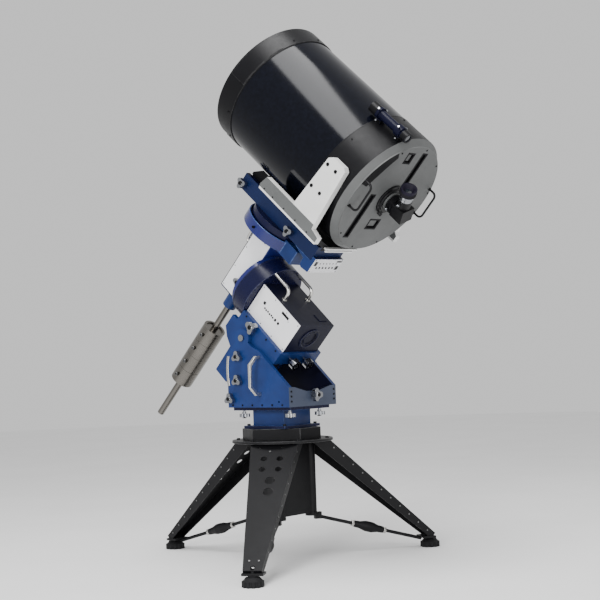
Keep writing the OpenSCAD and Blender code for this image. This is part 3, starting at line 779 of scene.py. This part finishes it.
def tube_bolts():
    """Screws round the face of the rear casting, and round both ends of the tube."""
    bolts = Shape()
    for k in range(10):
        a = math.radians(36 * k + 8)
        bolts.screw(at(TUBE, 268 * math.cos(a), 268 * math.sin(a), CASTING, "-z"), 4, 2.5)
    for k in range(12):
        spin = turned(TUBE, 30 * k + 5)
        bolts.screw(at(spin, TUBE_RADIUS + 4, 0, 384, "+x"), 4.5, 3)
        bolts.screw(at(spin, TUBE_RADIUS + 1, 0, -226, "+x"), 4.5, 3)
    bolts.piece("tube_bolts", "telescope", "alloy")


def slot_rim(shape, low, high):
    """A dark strip of painted shade laid round the edge of a recess in the rear casting."""
    (x0, y0), (x1, y1) = low, high
    w = 8
    for a, b in (((x0 - w, y0 - w), (x1 + w, y0)), ((x0 - w, y1), (x1 + w, y1 + w)),
                 ((x0 - w, y0), (x0, y1)), ((x1, y0), (x1 + w, y1))):
        shape.block((*a, CASTING - 0.7), (*b, CASTING + 0.1), TUBE)


def crescent_outline():
    """A crescent of painted shadow beside the curved recess, wide at its lower end."""
    outer = []
    inner = []
    steps = 16
    for k in range(steps + 1):
        a = math.radians(-76 + 44 * k / steps)
        depth = 36 * math.sin(math.pi * (0.12 + 0.88 * (steps - k) / steps) * 0.72)
        outer.append((276 * math.cos(a), 276 * math.sin(a)))
        inner.append(((258 - depth) * math.cos(a), (258 - depth) * math.sin(a)))
    return outer + inner[::-1]


def dish_plates():
    """Painted shade round the recesses of the rear casting, covers in the two small ones, and a crescent
    of painted shadow.
    """
    recess_shade = Shape()
    # dark strips of painted shade round the edges of the four recesses
    for low, high in (((70, 32), (242, 56)), ((-209, -146), (11, -122)), ((194, -72), (236, -34)),
                      ((-160, -30), (-118, 36))):
        slot_rim(recess_shade, low, high)
    recess_shade.piece("dish_recess_shade", "telescope", "dark", 0.4)
    covers = Shape()
    covers.block((199, -66, CASTING + 6), (231, -40, CASTING + 9.8), TUBE)
    covers.block((-154, -24, CASTING + 7), (-124, 30, CASTING + 9.8), TUBE)
    covers.piece("dish_covers", "telescope", "dish", 1)
    # a dark crescent of painted shadow beside the curved recess
    crescent = Shape()
    crescent.prism(crescent_outline(), CASTING - 1, CASTING + 0.1, TUBE)
    crescent.piece("dish_crescent_shadow", "telescope", "dark", 0.4)


def focus_flange():
    """The stepped flange round the rear port, with its screws and two hand screws."""
    hub = Shape()
    hub.lathe([(47, CASTING), (74, CASTING), (74, CASTING - 6), (72, CASTING - 8), (60, CASTING - 9),
               (58, CASTING - 14), (47, CASTING - 14), (47, CASTING)], TUBE, 72)
    for k in range(6):
        a = math.radians(60 * k)
        hub.screw(at(TUBE, 66 * math.cos(a), 66 * math.sin(a), CASTING - 8.4, "-z"), 3, 2.5)
    for degrees in (115, 205):
        hub.knurled(at(turned(TUBE, degrees), 0, 0, CASTING - 19, "+x"),
                    ((4, 58), (4, 66), (11, 67), (11, 80), (9.5, 82)), 36, 0.03)
    hub.piece("focus_flange", "telescope", "plastic", 0.5)


def eyepiece():
    soften("diagonal", ["plastic", "cup", "alloy"], DIAGONAL, round_mm=2.5,
           pick=lambda c, n: 1 if c.x > 104 else (2 if c.z > -452 else 0))
    barrel = at(DIAGONAL, 0, 0, EYE_AXIS, "+x")
    metal = Shape()
    metal.lathe([(28.2, 73), (29.8, 74), (29.8, 80), (29, 81), (29, 84), (29.8, 85), (29.8, 96),
                 (29, 97), (29, 100), (29.8, 101), (29.8, 103), (28.2, 104)], barrel, 48)
    for x, side, z in ((54, 31, EYE_AXIS), (0, 43, -440)):
        for s, axis in BOTH_SIDES:
            metal.knurled(at(DIAGONAL, x, s * side, z, axis),
                          ((3, 0), (3, 6), (6.5, 6.5), (6.5, 14), (5.5, 15)))
    metal.piece("eyepiece_rings", "diagonal", "chrome")
    ribs = Shape()
    for x in (108, 114, 120):
        ribs.lathe([(36, x), (37.6, x + 1), (37.6, x + 3), (36, x + 4)], barrel, 60)
    ribs.piece("eyepiece_ribs", "diagonal", "rubber")
    glass = Shape()
    glass.lathe([(0, 120.5), (15, 119.6), (15, 118.8), (0, 118.8)], barrel, 32)
    glass.piece("eye_lens", "diagonal", "lens")


def finder():
    soften("finder", ["casing", "alloy"], FINDER, round_mm=1.2,
           pick=lambda c, n: 1 if c.z > -205 or c.z < -361 or c.x < 318 else 0)
    screws = Shape()
    for z in (-339, -210):
        for degrees in (90, 210, 330):
            spin = turned(at(FINDER, FINDER_AXIS, 0, z), degrees)
            screws.knurled(spin @ TURN["+x"],
                           ((2.2, 26), (2.2, 32), (5, 32.5), (5, 39), (4.2, 40)), 20, 0.05)
    screws.piece("finder_screws", "telescope", "chrome")
    barrel = at(FINDER, FINDER_AXIS, 0, 0)
    glass = Shape()
    glass.lathe([(0, -167), (21.6, -167.6), (21.6, -169), (0, -169)], barrel, 40)
    glass.lathe([(0, -387.6), (15.6, -387.6), (15.6, -388.6), (0, -389.6)], barrel, 32)
    glass.piece("finder_lens", "telescope", "lens")


# ---- stage, in metres ----

def lamp(name, place, target, width, height, power):
    """A rectangular area lamp that faces its target."""
    data = bpy.data.lights.new(name, "AREA")
    data.shape = "RECTANGLE"
    data.size = width
    data.size_y = height
    data.energy = power
    obj = bpy.data.objects.new(name, data)
    bpy.context.scene.collection.objects.link(obj)
    obj.location = place
    direction = Vector(target) - Vector(place)
    obj.rotation_mode = "QUATERNION"
    obj.rotation_quaternion = direction.to_track_quat("-Z", "Y")


def stage():
    """A wide floor that reaches past the view, a pale surround and three soft lamps."""
    shape = Shape()
    shape.lathe([(0, -6), (14000, -6), (14000, -1), (0, -1)], WORLD, 128)
    floor = shape.build("floor")
    dress(floor, ["floor"], 0)
    world = bpy.data.worlds.new("studio")
    bpy.context.scene.world = world
    world.use_nodes = True
    world.node_tree.nodes["Background"].inputs["Color"].default_value = (1, 1, 1, 1)
    world.node_tree.nodes["Background"].inputs["Strength"].default_value = 0.8
    lamp("key", (2.2, -6.2, 2.8), (0, 0, 1.2), 1.8, 1.8, 260)
    lamp("fill", (6.5, -2.5, 1.2), (0, 0, 1.0), 1.6, 2.2, 70)
    lamp("strip", (0.85, -1.15, 4.9), (0.45, -0.2, 2.05), 1.3, 3.1, 210)


def camera():
    """The photograph's view: almost level, from the right of the near side, and rolled a little."""
    azimuth = math.radians(40.084)
    elevation = math.radians(-2.629)
    roll = math.radians(1.970)
    right = Vector((math.cos(azimuth), math.sin(azimuth), 0))
    back = Vector((math.sin(azimuth) * math.cos(elevation), -math.cos(azimuth) * math.cos(elevation),
                   math.sin(elevation)))
    up = back.cross(right)
    side = right * math.cos(roll) - up * math.sin(roll)
    top = right * math.sin(roll) + up * math.cos(roll)
    place = Matrix((side, top, back)).transposed().to_4x4()
    place.translation = (3.9674, -4.5554, 0.9088)
    data = bpy.data.cameras.new("camera")
    data.lens = 78.3
    data.sensor_width = 36
    data.clip_end = 100
    obj = bpy.data.objects.new("camera", data)
    bpy.context.scene.collection.objects.link(obj)
    obj.matrix_world = place
    bpy.context.scene.camera = obj


tripod()
wedge()
polar_drive()
dec_drive()
knobs()
saddle()
cradle()
telescope()
stage()
camera()
